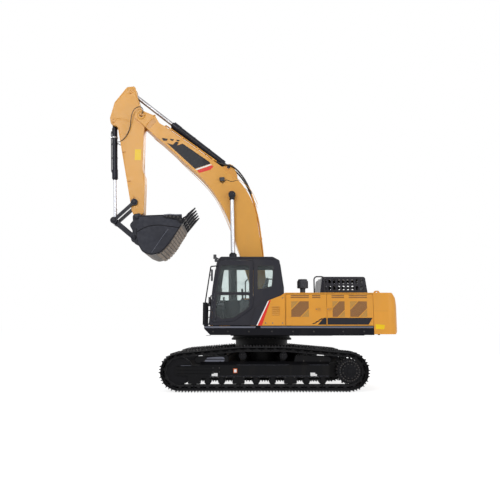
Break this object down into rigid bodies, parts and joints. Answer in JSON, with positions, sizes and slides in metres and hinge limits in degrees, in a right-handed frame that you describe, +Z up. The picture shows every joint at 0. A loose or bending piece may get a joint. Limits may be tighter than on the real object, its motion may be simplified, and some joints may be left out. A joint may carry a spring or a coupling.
{
  "type": "crawler excavator",
  "caption": "Crawler excavator on steel tracks with a swinging house, cab, counterweight, cranked boom, arm, bucket and working cylinders, posed with the bucket raised and curled.",
  "frame": {"origin": "on the ground, on the axis about which the house swings", "axes": "+X forward along the boom at rest, +Y to the cab's side, +Z up"},
  "size_m": [7.4717, 3.19, 8.1694],
  "materials": {
    "house_paint": "satin machine paint, dusty",
    "boom_paint": "satin machine paint, sun-faded",
    "black_paint": "satin black paint, dusty",
    "track_steel": "worn, dusty steel",
    "bucket_steel": "dark worn steel",
    "pin_steel": "turned, greasy",
    "pipe_steel": "black painted pipe",
    "rod_chrome": "polished hard chrome",
    "engine_iron": "dull",
    "cooler_alloy": "dark fins",
    "black_plastic": "matt black",
    "window_glass": "lightly tinted"
  },
  "bodies": {
    "undercarriage": {"car_body": "black_paint", "swing_bearing": "black_paint", "track_frame_left": "black_paint", "track_frame_right": "black_paint", "track_left": "track_steel", "track_right": "track_steel", "sprockets": "track_steel", "final_drives": "black_paint", "idlers": "track_steel", "track_rollers": "track_steel", "carrier_rollers": "track_steel", "lashing_lugs": "black_paint"},
    "house": {"swing_frame": "black_paint", "deck_left": "black_paint", "deck_right": "black_paint", "frame_pins": "pin_steel", "counterweight": "house_paint", "lifting_eyes": "house_paint", "hood_frame": "house_paint", "engine_block": "engine_iron", "radiator_pack": "cooler_alloy", "air_cleaner": "black_plastic", "exhaust_pipe": "pipe_steel", "right_tanks": "house_paint", "toolbox": "house_paint", "front_steps": "black_paint", "handrails": "black_paint", "cab_shell": "black_paint", "cab_glass": "window_glass", "cab_lower_panel": "house_paint", "operator_seat": "black_plastic", "cab_consoles": "black_plastic", "cab_front_step": "black_paint", "mirrors": "black_plastic", "cab_lamps": "black_plastic"},
    "cab_door": {"cab_door_frame": "black_paint", "cab_door_glass": "window_glass"},
    "side_door_front": {"side_door_front": "house_paint"},
    "side_door_rear": {"side_door_rear": "house_paint"},
    "pump_door": {"pump_door": "house_paint"},
    "engine_hood": {"engine_hood": "house_paint"},
    "toolbox_lid": {"toolbox_lid": "black_paint"},
    "boom": {"boom_box": "boom_paint", "boom_pins": "pin_steel", "boom_lines": "pipe_steel", "boom_lamp": "black_plastic"},
    "lift_barrels": {"boom_cylinder_barrels": "black_paint"},
    "lift_rods": {"boom_cylinder_rods": "rod_chrome"},
    "arm": {"arm_box": "boom_paint", "arm_pins": "pin_steel"},
    "arm_barrel": {"arm_cylinder_barrel": "black_paint"},
    "arm_rod": {"arm_cylinder_rod": "rod_chrome"},
    "bucket_barrel": {"bucket_cylinder_barrel": "black_paint"},
    "bucket_rod": {"bucket_cylinder_rod": "rod_chrome"},
    "levers": {"guide_levers": "boom_paint"},
    "link": {"bucket_link": "boom_paint"},
    "bucket": {"bucket_shell": "bucket_steel", "bucket_teeth": "bucket_steel", "bucket_pins": "pin_steel", "side_cutters": "bucket_steel"}
  },
  "joints": [
    {"name": "house_swing", "type": "hinge", "parent": "undercarriage", "child": "house", "pos_m": [0, 0, 1.29], "axis": [0, 0, 1], "continuous": true},
    {"name": "boom", "type": "hinge", "parent": "house", "child": "boom", "pos_m": [0, 0, 2.05], "axis": [0, -1, 0], "range_deg": [-98, 3]},
    {"name": "arm", "type": "hinge", "parent": "boom", "child": "arm", "pos_m": [3.314, 0, 7.311], "axis": [0, 1, 0], "range_deg": [-118, 3]},
    {"name": "bucket", "type": "hinge", "parent": "arm", "child": "bucket", "pos_m": [3.355, 0, 4.441], "axis": [0, 1, 0], "range_deg": [-112, 25]},
    {"name": "cab_door", "type": "hinge", "parent": "house", "child": "cab_door", "pos_m": [0.24, 1.465, 0], "axis": [0, 0, 1], "range_deg": [0, 165]},
    {"name": "side_door_front", "type": "hinge", "parent": "house", "child": "side_door_front", "pos_m": [-0.536, 1.509, 0], "axis": [0, 0, 1], "range_deg": [-120, 0]},
    {"name": "side_door_rear", "type": "hinge", "parent": "house", "child": "side_door_rear", "pos_m": [-2.634, 1.509, 0], "axis": [0, 0, 1], "range_deg": [0, 120]},
    {"name": "pump_door", "type": "hinge", "parent": "house", "child": "pump_door", "pos_m": [-2.634, -1.509, 0], "axis": [0, 0, 1], "range_deg": [-120, 0]},
    {"name": "engine_hood", "type": "hinge", "parent": "house", "child": "engine_hood", "pos_m": [-1.492, 0, 2.336], "axis": [0, 1, 0], "range_deg": [0, 70]},
    {"name": "toolbox_lid", "type": "hinge", "parent": "house", "child": "toolbox_lid", "pos_m": [0.49, 0, 2.038], "axis": [0, -1, 0], "range_deg": [0, 80]},
    {"name": "lift_barrel_turn", "type": "hinge", "parent": "house", "child": "lift_barrels", "pos_m": [0.72, 0, 1.48], "axis": [0, -1, 0], "range_deg": [-105.56, 3.23]},
    {"name": "lift_rod_slide", "type": "slide", "parent": "lift_barrels", "child": "lift_rods", "axis": [0.0203, 0, 0.9998], "range_m": [-1.34135, 0.04106]},
    {"name": "arm_barrel_turn", "type": "hinge", "parent": "boom", "child": "arm_barrel", "pos_m": [0.891, 0, 5.867], "axis": [0, -1, 0], "range_deg": [-0.05, 2.01]},
    {"name": "arm_rod_slide", "type": "slide", "parent": "arm_barrel", "child": "arm_rod", "axis": [0.7834, 0, 0.6216], "range_m": [-1.37348, 0.03492]},
    {"name": "bucket_barrel_turn", "type": "hinge", "parent": "arm", "child": "bucket_barrel", "pos_m": [4.092, 0, 7.191], "axis": [0, -1, 0], "range_deg": [-3.99, 0.89]},
    {"name": "bucket_rod_slide", "type": "slide", "parent": "bucket_barrel", "child": "bucket_rod", "axis": [-0.044, 0, -0.999], "range_m": [-1.0674, 0.23826]},
    {"name": "lever_turn", "type": "hinge", "parent": "arm", "child": "levers", "pos_m": [3.435, 0, 4.852], "axis": [0, -1, 0], "range_deg": [-21.2, 94.98]},
    {"name": "link_turn", "type": "hinge", "parent": "levers", "child": "link", "pos_m": [3.967, 0, 4.35], "axis": [0, -1, 0], "range_deg": [-47.56, 10.62]}
  ],
  "couplings": [
    {"joint": "lift_barrel_turn", "follows": "boom", "ratio": 1.075},
    {"joint": "lift_rod_slide", "follows": "boom", "m_per_rad": 0.78265},
    {"joint": "arm_barrel_turn", "follows": "arm", "ratio": -0.017007},
    {"joint": "arm_rod_slide", "follows": "arm", "m_per_rad": 0.66557},
    {"joint": "bucket_barrel_turn", "follows": "bucket", "ratio": 0.035528},
    {"joint": "bucket_rod_slide", "follows": "bucket", "m_per_rad": 0.54496},
    {"joint": "lever_turn", "follows": "bucket", "ratio": -0.84633},
    {"joint": "link_turn", "follows": "bucket", "ratio": 0.42376}
  ]
}
